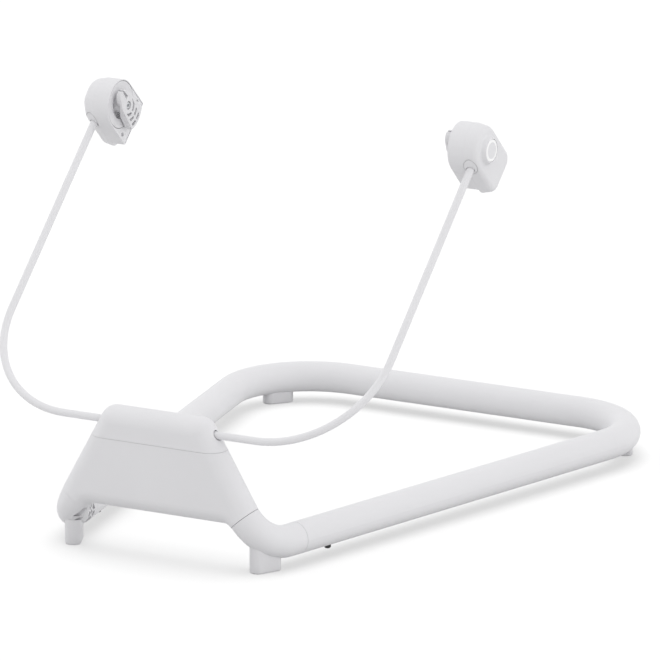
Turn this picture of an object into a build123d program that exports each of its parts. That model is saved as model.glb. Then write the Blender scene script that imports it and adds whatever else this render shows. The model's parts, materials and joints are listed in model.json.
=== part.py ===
# Bouncing stand for a baby seat: floor loop, elbows, console, spring wire and two seat adapters
import os
from math import sin, cos, tan, radians

from build123d import *

os.makedirs("parts", exist_ok=True)

# Floor loop: round tube, narrow at the front and wide at the back
OVERALL_LENGTH = 770.0
TUBE_D = 38.0
TUBE_WALL = 1.5
TUBE_HEIGHT = 31.2
SPLAY = 12.2
REAR_BEND_R = 101.0
SIDE_X = 131.8
TUBE_END_Y = -301.0

# Elbows between the console and the floor loop
ELBOW_R = 53.0
ELBOW_CORNER_Y = -361.5
SEAM_DEPTH = 95.3
SEAM_SLOPE = 40.0
SPIGOT_LENGTH = 82.0
SPIGOT_BORE_R = 13.6
SPIGOT_FLOOR = 4.0
TENON_R = 13.0
TENON_LENGTH = 34.0
TENON_ROOT = 6.0
ELBOW_SCREW_DROP = 72.0
ELBOW_SCREW_SEAT = 14.0

# Pockets in the elbow's open inner side: place along Y, rise from the tube's axis, sizes
UPPER_POCKET_Y = -365.3
UPPER_POCKET_RISE = 11.8
UPPER_POCKET_W = 7.5
UPPER_POCKET_H = 12.0
LOWER_POCKET_Y = -357.9
LOWER_POCKET_RISE = 0.5
LOWER_POCKET_W = 8.0
LOWER_POCKET_H = 6.0
POCKET_CORNER = 1.5
POCKET_FLOOR_X = 130.0
ROSETTE_Y = -319.0
ROSETTE_RISE = -1.4
ROSETTE_R = 12.6
ROSETTE_HUB_R = 5.6
ROSETTE_BORE_R = 3.0
ROSETTE_FLOOR_X = 138.0
SPOKES = 7
SPOKE_W = 2.2

# Console: a slab as thick as the tube, rounded all round, leaning slightly forward
CONSOLE_HALF_TOP = 56.5
CONSOLE_DROP = 103.2
EDGE_FLAT = 0.4
TOP_CORNER_R = 19.6
BOTTOM_CORNER_R = 10.0
CAP_DROP = 17.5
DECK_T = 3.5
FRONT_WALL = 4.5

# Back cover of the console, on a ledge round the hollow
COVER_T = 4.0
COVER_LEDGE = 3.0
COVER_MARGIN = 2.0
COVER_KNEE = 56.0
COVER_FOOT_HALF = 72.0
COVER_FOOT_RISE = 19.0
COVER_CORNER = 6.0
COVER_BOSS_R = 4.4
COVER_SCREW_L = 16.0
HIGH_SCREW_X = 52.0
HIGH_SCREW_DROP = 36.0
LOW_SCREW_X = 56.0
LOW_SCREW_DROP = 72.0
WEB_X = 26.0
WEB_T = 2.4
CAP_SCREW_X = 57.0
CAP_SCREW_TIP = 9.6

# Room under the cap, with the bed, straps and bushes that hold the wire
CAP_ROOM_HALF = 50.0
CAP_ROOM_DEPTH = 13.0
CAP_ROOM_TOP = 9.0
CAP_ROOM_CORNER = 1.5
CAP_HOLE_R = 5.8
BED_HALF = 46.0
BED_DEPTH = 11.5
STRAP_X = 30.0
STRAP_W = 14.0
STRAP_T = 2.6
STRAP_SCREW_R = 1.3
STRAP_HEAD_R = 2.0
STRAP_HEAD_T = 1.6
STRAP_SCREW_GRIP = 4.0
BUSH_R = 8.2
BUSH_COVER = 14.5

# Spring wire
WIRE_D = 9.0
WIRE_Z = 159.8
WIRE_BEND_R = 127.0
LEG_X = 255.6
LEG_LEAN = 45.0
HUB_REACH = 421.7
WIRE_END_GAP = 17.5

# Feet
FOOT_L = 39.0
FOOT_W = 19.0
FOOT_CORNER = 8.6
FRONT_FOOT_X = 129.2
FRONT_FOOT_Y = -345.0
FRONT_FOOT_TOE = 25.0
REAR_FOOT_ANGLE = 37.4
SOLE_T = 1.5
SOLE_INSET = 0.5
SOLE_EDGE = 0.6

# Snap pins that lock the loop on the elbows, each on a folded leaf spring
SNAP_Y = -248.0
SNAP_R = 4.0
SNAP_PROUD = 4.6
SNAP_TIP_ROUND = 2.4
SNAP_SEAT = 11.6
SNAP_FLANGE = 0.8
SNAP_FLANGE_T = 0.6
SNAP_LEAF_T = 1.0
SNAP_LEAF_W = 9.0
SNAP_LEAF_TOP = 12.2
SNAP_LEAF_FOLD = 14.0
SNAP_LEAF_LOW_END = 12.0
SNAP_LEAF_TOP_END = 10.0

# Seat adapters: a drum with a square tail, closed outside by a cap with a longer tail
INNER_FACE_X = 230.3
CAP_START_X = 251.5
OUTER_FACE_X = 267.0
BOSS_FACE_X = 273.0
DRUM_R = 30.4
RIM_WALL = 1.3
RIM_EDGE = 0.5
TAIL = 42.3
TAIL_CORNER = 1.5
LONG_TAIL = 58.7
LONG_TAIL_CORNER = 16.0
CAP_TAPER = 12.0
CAP_EDGE_R = 7.5
ADAPTER_WALL = 3.0
FACE_WALL = 4.0
BOSS_BASE_R = 17.4
BOSS_R = 14.6
BOSS_FOOT_R = 3.0
BOSS_EDGE = 0.6
ADAPTER_ROOM_X = 256.0
TAIL_ROOM_X = 260.0
TAIL_ROOM_W = 26.0
BUTTON_ROOM_R = 16.0
BLOCK_HALF = 16.0
BLOCK_ROOT = 0.5
WIRE_STOP_T = 1.0
TAIL_BOSS_R = 4.8
GROMMET_ACROSS = 7.8
GROMMET_ALONG = 11.5
GROMMET_OUT = 1.2
GROMMET_FORE = 3.5
GROMMET_T = 6.7
GROMMET_PLAY = 0.7

# Inner plate of the adapter, set into the drum's mouth
PLATE_INSET = 0.6
PLATE_T = 3.0
BULKHEAD_X = 245.0
TAIL_SCREW_T = 29.2
TAIL_SCREW_L = 24.0
TAIL_SCREW_SEAT = 5.4
TAIL_HEAD_R = 2.4
TAIL_SCREW_LENGTH = 18.0
TAIL_HOLLOW_T = 35.6
TAIL_HOLLOW_W = 5.0
TAIL_HOLLOW_L = 36.0
TAIL_HOLLOW_CORNER = 2.0

# Recline hub: a dished disc on a shaft, held by a clip
HUB_INSET = 0.2
HUB_LIP = 1.6
HUB_CHAMFER = 0.7
HUB_FLOOR_X = 236.4
HUB_BACK_X = 239.0
DISH_STEP = 5.2
DISH_FLOOR_R = 16.0
DISH_SLOPE_R = 17.5
SHAFT_R = 9.0
SHAFT_END_X = 249.5
GROOVE_R = 8.2
CLIP_T = 1.5
CLIP_R = 12.6
CLIP_MOUTH_W = 6.0
CLIP_MOUTH_L = 12.0
CLIP_ROOM = 0.7

# Seat plug on the hub: a wedge-shaped plate with a thicker nose
PLUG_FACE_X = 219.8
PLUG_PLATE_T = 8.8
PLUG_NOSE_T = 6.3
PLUG_NOSE_R = 9.5
PLUG_NOSE_AT = (-13.5, 2.0)
PLUG_SHOULDER_R = 13.0
PLUG_SHOULDER_AT = (-4.0, 1.0)
PLUG_HEEL_T = 3.0
HEEL_START = -11.5
HEEL_END = 6.5
PLUG_TAIL_R = 32.0
PLUG_TAIL_HALF = 16.0
PLUG_TAIL_RUN = 8.0
PLUG_NECK_R = 9.5
PLUG_EDGE = 0.9
PLUG_RECESS_R = 5.2
PLUG_RECESS_T = 5.0
POCKET_OUT_R = 28.4
POCKET_W = 3.6
POCKET_PITCH = 7.4
POCKET_ROWS = 3
POCKET_NEAR = 1.0
POCKET_NEAR_LOW = -9.2
POCKET_NEAR_HIGH = 10.8
POCKET_FAR = 30.0
POCKET_FAR_LOW = -13.4
POCKET_FAR_HIGH = 6.0
POCKET_RIB_T = 2.4
POCKET_RIB_TURN = -6.0
SLOT_TIP = (-23.4, 5.6)
SLOT_FOOT = (-9.6, 4.9)
SLOT_TIP_HALF = 0.9
SLOT_FOOT_HALF = 2.6
HUB_SCREW_R = 2.4
HUB_SCREW_TIP_X = 247.0
HUB_HEAD_R = 3.8
HUB_HEAD_T = 4.0
HUB_SOCKET_R = 2.0
HUB_SOCKET_T = 1.8

# Release button in the adapter's boss, with its return spring
BUTTON_R = 13.3
BUTTON_TRAVEL = 4.0
BUTTON_INSET = 0.3
BUTTON_EDGE = 0.9
FLANGE_R = 15.0
FLANGE_T = 2.2
PLUNGER_R = 4.5
PLUNGER_GAP = 1.0
SPRING_IN_R = 6.0
SPRING_OUT_R = 7.4

# Fits
RUN_FIT = 0.3
SLIDE_FIT = 0.3
SPIGOT_FIT = 0.2
SEAM_GAP = 0.3
ELBOW_SEAM = 0.5
COVER_FIT = 0.25
HEAD_FIT = 0.2
GRIP_FIT = 0.05
CUT_OVER = 2.0

# Screws
SCREW_R = 1.6
HEAD_R = 3.2
HEAD_T = 2.2

tube_r = TUBE_D / 2
back_y = OVERALL_LENGTH / 2 - tube_r
wire_y = -back_y
wire_r = WIRE_D / 2


def side_x(y):
    return SIDE_X + tan(radians(SPLAY)) * (y - ELBOW_CORNER_Y)


def bend(start, corner, end, radius):
    into = (corner - start).normalized()
    out = (end - corner).normalized()
    half = radians(into.get_angle(out)) / 2
    reach = radius * tan(half)
    middle = corner + (out - into).normalized() * (radius / cos(half) - radius)
    return corner - into * reach, middle, corner + out * reach


# Floor loop
tube_dir = Vector(sin(radians(SPLAY)), cos(radians(SPLAY)), 0)
tube_end = Vector(side_x(TUBE_END_Y), TUBE_END_Y, TUBE_HEIGHT)
loop_corner = Vector(side_x(back_y), back_y, TUBE_HEIGHT)
loop_middle = Vector(0, back_y, TUBE_HEIGHT)
rear_in, rear_mid, rear_out = bend(tube_end, loop_corner, loop_middle, REAR_BEND_R)

with BuildLine() as loop_half:
    Line(tube_end, rear_in)
    ThreePointArc(rear_in, rear_mid, rear_out)
    Line(rear_out, loop_middle)

with BuildSketch(Plane(origin=tube_end, z_dir=tube_dir)) as loop_section:
    Circle(tube_r)
    Circle(tube_r - TUBE_WALL, mode=Mode.SUBTRACT)

snap_at = Vector(side_x(SNAP_Y), SNAP_Y, TUBE_HEIGHT)
snap_down = Plane(origin=snap_at, z_dir=(0, 0, -1))

with BuildSketch(snap_down) as snap_hole:
    Circle(SNAP_R + SLIDE_FIT)

with BuildPart() as floor_loop:
    sweep(loop_section.sketch, path=loop_half.line)
    extrude(snap_hole.sketch, amount=tube_r + CUT_OVER, mode=Mode.SUBTRACT)
    mirror(about=Plane.YZ)
floor_loop.part.label = "floor_loop"
export_step(floor_loop.part, "parts/floor_loop.step")

# Elbow path: down the console's side, round to the back and up to the tube
leg_top = Vector(CONSOLE_HALF_TOP, wire_y, WIRE_Z)
elbow_corner = Vector(SIDE_X, ELBOW_CORNER_Y, TUBE_HEIGHT)
elbow_end = tube_end - tube_dir * ELBOW_SEAM
leg_dir = (elbow_corner - leg_top).normalized()
elbow_in, elbow_mid, elbow_out = bend(leg_top, elbow_corner, tube_end, ELBOW_R)
elbow_start = elbow_in - leg_dir * TUBE_D

with BuildLine() as elbow_path:
    Line(elbow_start, elbow_in)
    ThreePointArc(elbow_in, elbow_mid, elbow_out)
    Line(elbow_out, elbow_end)

with BuildSketch(Plane(origin=elbow_start, z_dir=leg_dir)) as elbow_section:
    Circle(tube_r)

with BuildPart() as elbow_skin:
    sweep(elbow_section.sketch, path=elbow_path.line)

# Console plane: origin on the wire's axis, normal out of the console's front
console_up = Vector(0, wire_y - ELBOW_CORNER_Y, WIRE_Z - TUBE_HEIGHT).normalized()
console_front = Vector(1, 0, 0).cross(console_up)
console_back = console_front * -1
console_plane = Plane(origin=(0, wire_y, WIRE_Z), x_dir=(1, 0, 0), z_dir=console_front)
corner_local = console_plane.to_local_coords(elbow_corner)
side_run = Vector(corner_local.X - CONSOLE_HALF_TOP, corner_local.Y, 0).normalized()
side_out = Vector(-side_run.Y, side_run.X, 0)


def side_at(height, offset):
    foot = Vector(CONSOLE_HALF_TOP, 0, 0) + side_out * offset
    return foot.X + side_run.X * (height - foot.Y) / side_run.Y


def mirrored(v):
    return Vector(-v.X, v.Y, v.Z)


seam_centre = Vector(side_at(-SEAM_DEPTH, 0), -SEAM_DEPTH, 0)
seam_up_local = Vector(-sin(radians(SEAM_SLOPE)), cos(radians(SEAM_SLOPE)), 0)
seam_point = console_plane.from_local_coords(seam_centre)
seam_up = console_plane.from_local_coords(seam_centre + seam_up_local) - seam_point
seam_plane = Plane(origin=seam_point, z_dir=seam_up)
seam_plane_left = Plane(origin=mirrored(seam_point), z_dir=mirrored(seam_up))
tenon_plane = Plane(origin=seam_point, z_dir=leg_dir * -1)
tenon_plane_left = Plane(origin=mirrored(seam_point), z_dir=mirrored(leg_dir * -1))

with BuildSketch(Plane(origin=elbow_end, z_dir=tube_dir)) as spigot_section:
    Circle(tube_r - TUBE_WALL - SPIGOT_FIT)
with BuildSketch(Plane(origin=tube_end + tube_dir * SPIGOT_LENGTH, z_dir=tube_dir * -1)) as spigot_bore:
    Circle(SPIGOT_BORE_R)
with BuildSketch(tenon_plane) as tenon_section:
    Circle(TENON_R)

# Open, ribbed inner side of the elbow: two square pockets and a round one with spokes
with BuildSketch(Plane.YZ) as square_pockets:
    with Locations((UPPER_POCKET_Y, TUBE_HEIGHT + UPPER_POCKET_RISE)):
        RectangleRounded(UPPER_POCKET_W, UPPER_POCKET_H, POCKET_CORNER)
    with Locations((LOWER_POCKET_Y, TUBE_HEIGHT + LOWER_POCKET_RISE)):
        RectangleRounded(LOWER_POCKET_W, LOWER_POCKET_H, POCKET_CORNER)
with BuildSketch(Plane.YZ) as rosette:
    with Locations((ROSETTE_Y, TUBE_HEIGHT + ROSETTE_RISE)):
        Circle(ROSETTE_R)
        Circle(ROSETTE_HUB_R, mode=Mode.SUBTRACT)
        with PolarLocations(0, SPOKES):
            Rectangle(2 * ROSETTE_R, SPOKE_W, align=(Align.MIN, Align.CENTER), mode=Mode.SUBTRACT)
        Circle(ROSETTE_BORE_R)

elbow_screw_local = Vector(side_at(-ELBOW_SCREW_DROP, 0), -ELBOW_SCREW_DROP, 0)
elbow_screw_at = console_plane.from_local_coords(elbow_screw_local)
elbow_screw_plane = Plane(origin=elbow_screw_at, x_dir=(1, 0, 0), z_dir=console_back)
elbow_screw_plane_left = Plane(origin=mirrored(elbow_screw_at), x_dir=(1, 0, 0), z_dir=console_back)
with BuildSketch(elbow_screw_plane) as elbow_screw_shank:
    Circle(SCREW_R)
with BuildSketch(elbow_screw_plane.offset(ELBOW_SCREW_SEAT)) as elbow_screw_head:
    Circle(HEAD_R)

with BuildPart() as right_elbow:
    add(elbow_skin.part)
    split(bisect_by=seam_plane.offset(-ELBOW_SEAM), keep=Keep.BOTTOM)
    extrude(tenon_section.sketch, amount=TENON_LENGTH)
    extrude(tenon_section.sketch, amount=-TENON_ROOT)
    extrude(spigot_section.sketch, amount=SPIGOT_LENGTH + ELBOW_SEAM)
    extrude(spigot_bore.sketch, amount=SPIGOT_LENGTH - SPIGOT_FLOOR, mode=Mode.SUBTRACT)
    extrude(snap_hole.sketch, amount=tube_r + CUT_OVER, mode=Mode.SUBTRACT)
    extrude(square_pockets.sketch, amount=POCKET_FLOOR_X, mode=Mode.SUBTRACT)
    extrude(rosette.sketch, amount=ROSETTE_FLOOR_X, mode=Mode.SUBTRACT)
    extrude(elbow_screw_shank.sketch, amount=TENON_R + CUT_OVER, mode=Mode.SUBTRACT)
right_elbow.part.label = "right_elbow"
export_step(right_elbow.part, "parts/right_elbow.step")

with BuildPart() as left_elbow:
    mirror(right_elbow.part, about=Plane.YZ)
left_elbow.part.label = "left_elbow"
export_step(left_elbow.part, "parts/left_elbow.step")

# Feet: posts cut to the tube above them, on thin rubber soles
rear_centre = rear_mid + (rear_mid - loop_corner).normalized() * REAR_BEND_R
rear_angle = radians(REAR_FOOT_ANGLE)
rear_out_dir = Vector(cos(rear_angle), sin(rear_angle), 0)
rear_foot_at = rear_centre + rear_out_dir * REAR_BEND_R
front_toe = radians(FRONT_FOOT_TOE)
front_foot_plane = Plane(
    origin=(FRONT_FOOT_X, FRONT_FOOT_Y, 0), x_dir=(sin(front_toe), cos(front_toe), 0), z_dir=(0, 0, 1)
)
rear_foot_plane = Plane(
    origin=(rear_foot_at.X, rear_foot_at.Y, 0), x_dir=(-rear_out_dir.Y, rear_out_dir.X, 0), z_dir=(0, 0, 1)
)
sole_l = FOOT_L - 2 * SOLE_INSET
sole_w = FOOT_W - 2 * SOLE_INSET
sole_corner = FOOT_CORNER - SOLE_INSET

with BuildSketch(Plane(origin=tube_end, z_dir=tube_dir)) as loop_solid_section:
    Circle(tube_r)
with BuildPart() as loop_skin:
    sweep(loop_solid_section.sketch, path=loop_half.line)

with BuildSketch(front_foot_plane.offset(SOLE_T)) as front_foot_plan:
    RectangleRounded(FOOT_L, FOOT_W, FOOT_CORNER)
with BuildSketch(front_foot_plane) as front_sole_plan:
    RectangleRounded(sole_l, sole_w, sole_corner)
with BuildSketch(rear_foot_plane.offset(SOLE_T)) as rear_foot_plan:
    RectangleRounded(FOOT_L, FOOT_W, FOOT_CORNER)
with BuildSketch(rear_foot_plane) as rear_sole_plan:
    RectangleRounded(sole_l, sole_w, sole_corner)

with BuildPart() as right_front_foot:
    extrude(front_foot_plan.sketch, amount=TUBE_HEIGHT)
    add(elbow_skin.part, mode=Mode.SUBTRACT)
right_front_foot.part.label = "right_front_foot"
export_step(right_front_foot.part, "parts/right_front_foot.step")

with BuildPart() as left_front_foot:
    mirror(right_front_foot.part, about=Plane.YZ)
left_front_foot.part.label = "left_front_foot"
export_step(left_front_foot.part, "parts/left_front_foot.step")

with BuildPart() as right_rear_foot:
    extrude(rear_foot_plan.sketch, amount=TUBE_HEIGHT / 2)
    add(loop_skin.part, mode=Mode.SUBTRACT)
right_rear_foot.part.label = "right_rear_foot"
export_step(right_rear_foot.part, "parts/right_rear_foot.step")

with BuildPart() as left_rear_foot:
    mirror(right_rear_foot.part, about=Plane.YZ)
left_rear_foot.part.label = "left_rear_foot"
export_step(left_rear_foot.part, "parts/left_rear_foot.step")

with BuildPart() as right_front_sole:
    extrude(front_sole_plan.sketch, amount=SOLE_T)
    fillet(right_front_sole.edges().group_by(Axis.Z)[0], radius=SOLE_EDGE)
right_front_sole.part.label = "right_front_sole"
export_step(right_front_sole.part, "parts/right_front_sole.step")

with BuildPart() as left_front_sole:
    mirror(right_front_sole.part, about=Plane.YZ)
left_front_sole.part.label = "left_front_sole"
export_step(left_front_sole.part, "parts/left_front_sole.step")

with BuildPart() as right_rear_sole:
    extrude(rear_sole_plan.sketch, amount=SOLE_T)
    fillet(right_rear_sole.edges().group_by(Axis.Z)[0], radius=SOLE_EDGE)
right_rear_sole.part.label = "right_rear_sole"
export_step(right_rear_sole.part, "parts/right_rear_sole.step")

with BuildPart() as left_rear_sole:
    mirror(right_rear_sole.part, about=Plane.YZ)
left_rear_sole.part.label = "left_rear_sole"
export_step(left_rear_sole.part, "parts/left_rear_sole.step")

# Console slab with its two legs, later split into cap, shell and back cover
leg_end = CONSOLE_DROP + TUBE_D
slab_points = [
    (side_at(tube_r, tube_r), tube_r),
    (side_at(-leg_end, tube_r), -leg_end),
    (side_at(-leg_end, -tube_r), -leg_end),
    (side_at(-CONSOLE_DROP, -tube_r), -CONSOLE_DROP),
]
slab_outline = slab_points + [(-x, y) for x, y in reversed(slab_points)]


def above_leg_ends(edge):
    return console_plane.to_local_coords(edge.center()).Y > CUT_OVER - leg_end


with BuildSketch(console_plane.offset(-tube_r)) as slab_plan:
    Polygon(*slab_outline, align=None)
    fillet(slab_plan.vertices().group_by(Axis.Y)[-1], radius=TOP_CORNER_R)
    fillet(slab_plan.vertices().group_by(Axis.Y)[1], radius=BOTTOM_CORNER_R)
with BuildPart() as slab:
    extrude(slab_plan.sketch, amount=TUBE_D)
    flats = slab.faces().filter_by(lambda f: abs(f.normal_at().dot(console_front)) > 0.99)
    fillet(flats.edges().filter_by(above_leg_ends), radius=tube_r - EDGE_FLAT)
    split(bisect_by=seam_plane, keep=Keep.TOP)
    split(bisect_by=seam_plane_left, keep=Keep.TOP)


def across(x):
    return Plane(origin=(x, wire_y, WIRE_Z), x_dir=console_back, z_dir=(1, 0, 0))


def level(x, height):
    at = console_plane.from_local_coords(Vector(x, height, 0))
    return Plane(origin=at, x_dir=(1, 0, 0), z_dir=console_up)


# Back cover panel of the console and the hollow behind it
cover_top = CAP_DROP + DECK_T
cover_side = [
    (side_at(-cover_top, -COVER_MARGIN), -cover_top),
    (side_at(-COVER_KNEE, -COVER_MARGIN), -COVER_KNEE),
    (COVER_FOOT_HALF, COVER_FOOT_RISE - CONSOLE_DROP),
]
cover_points = cover_side + [(-x, y) for x, y in reversed(cover_side)]
cover_screw_side = [(HIGH_SCREW_X, -HIGH_SCREW_DROP), (LOW_SCREW_X, -LOW_SCREW_DROP)]
cover_screw_spots = cover_screw_side + [(-x, y) for x, y in cover_screw_side]
hollow_depth = TUBE_D - COVER_T - FRONT_WALL
web_h = CONSOLE_DROP - COVER_FOOT_RISE - cover_top
cover_outside = console_plane.offset(-tube_r)
cover_inside = console_plane.offset(COVER_T - tube_r)

with BuildSketch(cover_outside) as cover_plan:
    Polygon(*cover_points, align=None)
    fillet(cover_plan.vertices(), radius=COVER_CORNER)
with BuildSketch(cover_outside) as cover_recess:
    add(cover_plan.sketch_local)
    offset(amount=COVER_FIT)
with BuildSketch(cover_inside) as hollow_plan:
    Polygon(*cover_points, align=None)
    fillet(hollow_plan.vertices(), radius=COVER_CORNER)
    offset(amount=-COVER_LEDGE)
with BuildSketch(cover_inside) as cover_bosses:
    with Locations(*cover_screw_spots):
        Circle(COVER_BOSS_R)
with BuildSketch(cover_outside) as cover_holes:
    with Locations(*cover_screw_spots):
        Circle(SCREW_R)
with BuildSketch(cover_outside) as cover_heads:
    with Locations(*cover_screw_spots):
        Circle(HEAD_R)
with BuildSketch(cover_inside) as hollow_webs:
    with Locations((WEB_X, -cover_top), (-WEB_X, -cover_top)):
        Rectangle(WEB_T, web_h, align=(Align.CENTER, Align.MAX))

# Screws up through the deck into the cap
deck_under = cover_top + COVER_LEDGE
cap_screw_spots = [(CAP_SCREW_X, 0), (-CAP_SCREW_X, 0)]
with BuildSketch(level(0, -deck_under)) as cap_screw_shanks:
    with Locations(*cap_screw_spots):
        Circle(SCREW_R)
with BuildSketch(level(0, -deck_under)) as cap_screw_heads:
    with Locations(*cap_screw_spots):
        Circle(HEAD_R)

# Screws down through the straps and the wire bed into the deck
wire_hole_r = wire_r + RUN_FIT
deck_top = CAP_DROP + SEAM_GAP / 2
strap_screw_depth = (wire_hole_r + STRAP_T + BED_DEPTH) / 2
strap_screw_l = STRAP_T + deck_top + STRAP_SCREW_GRIP
with BuildSketch(level(0, STRAP_T)) as strap_screw_shanks:
    with GridLocations(2 * STRAP_X, 2 * strap_screw_depth, 2, 2):
        Circle(STRAP_SCREW_R)
with BuildSketch(level(0, STRAP_T)) as strap_screw_heads:
    with GridLocations(2 * STRAP_X, 2 * strap_screw_depth, 2, 2):
        Circle(STRAP_HEAD_R)

# Sockets for the elbows' tenons and holes for their screws
with BuildPart() as elbow_cuts:
    with Locations(tenon_plane, tenon_plane_left):
        Cylinder(TENON_R + SPIGOT_FIT, 2 * (TENON_LENGTH + CUT_OVER))
    with Locations(elbow_screw_plane, elbow_screw_plane_left):
        Cylinder(SCREW_R, TUBE_D, align=(Align.CENTER, Align.CENTER, Align.MIN))
    with Locations(
        elbow_screw_plane.offset(ELBOW_SCREW_SEAT), elbow_screw_plane_left.offset(ELBOW_SCREW_SEAT)
    ):
        Cylinder(HEAD_R + HEAD_FIT, TUBE_D, align=(Align.CENTER, Align.CENTER, Align.MIN))

with BuildPart() as console_shell:
    add(slab.part)
    split(bisect_by=level(0, -deck_top), keep=Keep.BOTTOM)
    extrude(hollow_plan.sketch, amount=hollow_depth, mode=Mode.SUBTRACT)
    extrude(cover_recess.sketch, amount=COVER_T, mode=Mode.SUBTRACT)
    extrude(cover_bosses.sketch, amount=hollow_depth)
    extrude(hollow_webs.sketch, amount=hollow_depth)
    extrude(cover_holes.sketch, amount=COVER_SCREW_L + CUT_OVER, mode=Mode.SUBTRACT)
    add(elbow_cuts.part, mode=Mode.SUBTRACT)
    extrude(cap_screw_shanks.sketch, amount=deck_under, mode=Mode.SUBTRACT)
    extrude(strap_screw_shanks.sketch, amount=-strap_screw_l, mode=Mode.SUBTRACT)
console_shell.part.label = "console_shell"
export_step(console_shell.part, "parts/console_shell.step")

with BuildPart() as console_back_cover:
    extrude(cover_plan.sketch, amount=COVER_T)
    extrude(cover_holes.sketch, amount=COVER_T, mode=Mode.SUBTRACT)
    extrude(cover_heads.sketch, amount=HEAD_T, mode=Mode.SUBTRACT)
console_back_cover.part.label = "console_back_cover"
export_step(console_back_cover.part, "parts/console_back_cover.step")

with BuildPart() as console_cover_screws:
    extrude(cover_heads.sketch, amount=HEAD_T)
    extrude(cover_holes.sketch, amount=COVER_SCREW_L)
console_cover_screws.part.label = "console_cover_screws"
export_step(console_cover_screws.part, "parts/console_cover_screws.step")

# Console cap with the room for the wire
bush_end_x = side_at(0, tube_r) - BUSH_COVER
cap_room_h = CAP_ROOM_TOP + CAP_DROP + CUT_OVER
with BuildSketch(across(0)) as cap_room:
    with Locations((0, CAP_ROOM_TOP - cap_room_h / 2)):
        RectangleRounded(2 * CAP_ROOM_DEPTH, cap_room_h, CAP_ROOM_CORNER)
with BuildSketch(across(0)) as cap_bush_seat:
    Circle(BUSH_R)
with BuildSketch(across(0)) as cap_hole:
    Circle(CAP_HOLE_R)

with BuildPart() as console_cap:
    add(slab.part)
    split(bisect_by=level(0, SEAM_GAP / 2 - CAP_DROP), keep=Keep.TOP)
    extrude(cap_room.sketch, amount=CAP_ROOM_HALF, both=True, mode=Mode.SUBTRACT)
    extrude(cap_bush_seat.sketch, amount=bush_end_x, both=True, mode=Mode.SUBTRACT)
    extrude(cap_hole.sketch, amount=2 * CONSOLE_HALF_TOP, both=True, mode=Mode.SUBTRACT)
    extrude(cap_screw_shanks.sketch, amount=deck_under - CAP_SCREW_TIP, mode=Mode.SUBTRACT)
console_cap.part.label = "console_cap"
export_step(console_cap.part, "parts/console_cap.step")

with BuildPart() as console_cap_screws:
    extrude(cap_screw_shanks.sketch, amount=deck_under - CAP_SCREW_TIP)
    extrude(cap_screw_heads.sketch, amount=-HEAD_T)
console_cap_screws.part.label = "console_cap_screws"
export_step(console_cap_screws.part, "parts/console_cap_screws.step")

# Wire bed, straps and bushes
with BuildSketch(across(0)) as bed_section:
    with Locations((0, -deck_top / 2)):
        Rectangle(2 * BED_DEPTH, deck_top)
    Circle(wire_hole_r, mode=Mode.SUBTRACT)
with BuildPart() as wire_bed:
    extrude(bed_section.sketch, amount=BED_HALF, both=True)
    extrude(strap_screw_shanks.sketch, amount=-strap_screw_l, mode=Mode.SUBTRACT)
wire_bed.part.label = "wire_bed"
export_step(wire_bed.part, "parts/wire_bed.step")

with BuildSketch(across(STRAP_X)) as strap_section:
    Circle(wire_hole_r + STRAP_T)
    with Locations((0, STRAP_T / 2)):
        Rectangle(2 * BED_DEPTH, STRAP_T)
    with Locations((0, -BED_DEPTH)):
        Rectangle(4 * BED_DEPTH, 2 * BED_DEPTH, mode=Mode.SUBTRACT)
    Circle(wire_hole_r, mode=Mode.SUBTRACT)
with BuildPart() as right_wire_strap:
    extrude(strap_section.sketch, amount=STRAP_W / 2, both=True)
    extrude(strap_screw_shanks.sketch, amount=-strap_screw_l, mode=Mode.SUBTRACT)
right_wire_strap.part.label = "right_wire_strap"
export_step(right_wire_strap.part, "parts/right_wire_strap.step")

with BuildPart() as left_wire_strap:
    mirror(right_wire_strap.part, about=Plane.YZ)
left_wire_strap.part.label = "left_wire_strap"
export_step(left_wire_strap.part, "parts/left_wire_strap.step")

with BuildPart() as wire_strap_screws:
    extrude(strap_screw_shanks.sketch, amount=-strap_screw_l)
    extrude(strap_screw_heads.sketch, amount=STRAP_HEAD_T)
wire_strap_screws.part.label = "wire_strap_screws"
export_step(wire_strap_screws.part, "parts/wire_strap_screws.step")

with BuildSketch(across(CAP_ROOM_HALF)) as bush_section:
    Circle(BUSH_R)
    Circle(wire_hole_r, mode=Mode.SUBTRACT)
with BuildPart() as right_wire_bush:
    extrude(bush_section.sketch, amount=bush_end_x - CAP_ROOM_HALF)
right_wire_bush.part.label = "right_wire_bush"
export_step(right_wire_bush.part, "parts/right_wire_bush.step")

with BuildPart() as left_wire_bush:
    mirror(right_wire_bush.part, about=Plane.YZ)
left_wire_bush.part.label = "left_wire_bush"
export_step(left_wire_bush.part, "parts/left_wire_bush.step")

with BuildPart() as elbow_screws:
    extrude(elbow_screw_shank.sketch, amount=ELBOW_SCREW_SEAT)
    extrude(elbow_screw_head.sketch, amount=HEAD_T)
    mirror(about=Plane.YZ)
elbow_screws.part.label = "elbow_screws"
export_step(elbow_screws.part, "parts/elbow_screws.step")

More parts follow.
